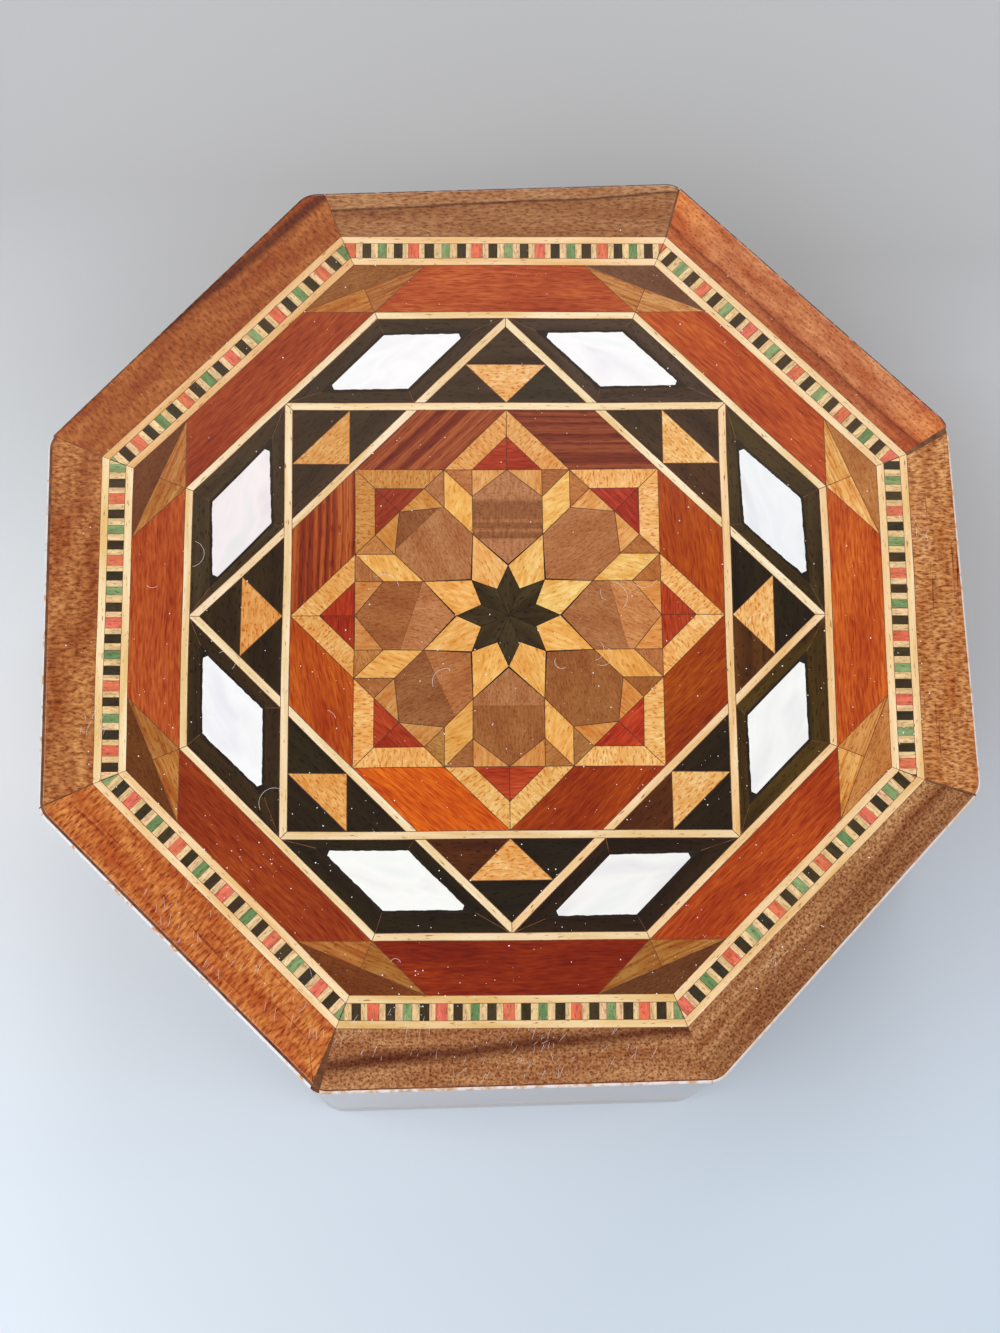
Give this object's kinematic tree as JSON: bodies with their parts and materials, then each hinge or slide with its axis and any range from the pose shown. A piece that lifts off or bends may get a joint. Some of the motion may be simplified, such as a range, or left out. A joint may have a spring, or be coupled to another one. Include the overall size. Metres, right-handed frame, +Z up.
{
  "type": "marquetry box with mother-of-pearl inlay",
  "caption": "Octagonal wooden box with a lift-off lid, faced with star marquetry, striped banding and mother-of-pearl lozenges; the box is hollow and stands on its underside.",
  "frame": {"origin": "middle of the underside, which stands on z = 0, at the middle of the lid's outline", "axes": "+Z up through the lid, +Y towards side n, which is the far side in the picture, +X towards side e"},
  "size_m": [0.1054, 0.1064, 0.04],
  "materials": {
    "walnut": "brown walnut with open pores, under glossy varnish",
    "dark_walnut": "dark walnut with black streaks, under glossy varnish",
    "padauk": "orange padauk with short dark pores, under glossy varnish",
    "carcase_wood": "plain pale carcase wood, sanded and oiled",
    "banding": "striped banding of black, green, coral and pale veneers between two pale lines, varnished",
    "mahogany": "red mahogany, under glossy varnish",
    "corner_wood": "diamond pieced from brown and golden wood, varnished",
    "stringing": "pale boxwood line, varnished",
    "ebony": "near-black ebony, varnished",
    "mother_of_pearl": "polished white mother-of-pearl with a faint lilac and green sheen, opaque",
    "rosette_wood": "rosette pieced from golden, brown, red and mahogany woods, varnished"
  },
  "bodies": {
    "root": {"bottom_board": "carcase_wood", "wall_n": "walnut", "wall_nw": "walnut", "wall_w": "walnut", "wall_sw": "walnut", "wall_s": "walnut", "wall_se": "walnut", "wall_e": "walnut", "wall_ne": "walnut", "lid_board": "walnut", "lid_locating_panel": "carcase_wood", "border_n": "walnut", "border_nw": "walnut", "border_w": "padauk", "border_sw": "padauk", "border_s": "dark_walnut", "border_se": "dark_walnut", "border_e": "padauk", "border_ne": "walnut", "banding_n": "banding", "mahogany_n": "mahogany", "diamond_nnw": "corner_wood", "banding_nw": "banding", "mahogany_nw": "mahogany", "diamond_wnw": "corner_wood", "banding_w": "banding", "mahogany_w": "mahogany", "diamond_wsw": "corner_wood", "banding_sw": "banding", "mahogany_sw": "mahogany", "diamond_ssw": "corner_wood", "banding_s": "banding", "mahogany_s": "mahogany", "diamond_sse": "corner_wood", "banding_se": "banding", "mahogany_se": "mahogany", "diamond_ese": "corner_wood", "banding_e": "banding", "mahogany_e": "mahogany", "diamond_ene": "corner_wood", "banding_ne": "banding", "mahogany_ne": "mahogany", "diamond_nne": "corner_wood", "star_panel_line": "stringing", "ebony_star_panel": "ebony", "pearl_nnw": "mother_of_pearl", "pearl_wnw": "mother_of_pearl", "pearl_wsw": "mother_of_pearl", "pearl_ssw": "mother_of_pearl", "pearl_sse": "mother_of_pearl", "pearl_ese": "mother_of_pearl", "pearl_ene": "mother_of_pearl", "pearl_nne": "mother_of_pearl", "rosette": "rosette_wood", "centre_star": "ebony"}
  },
  "joints": []
}
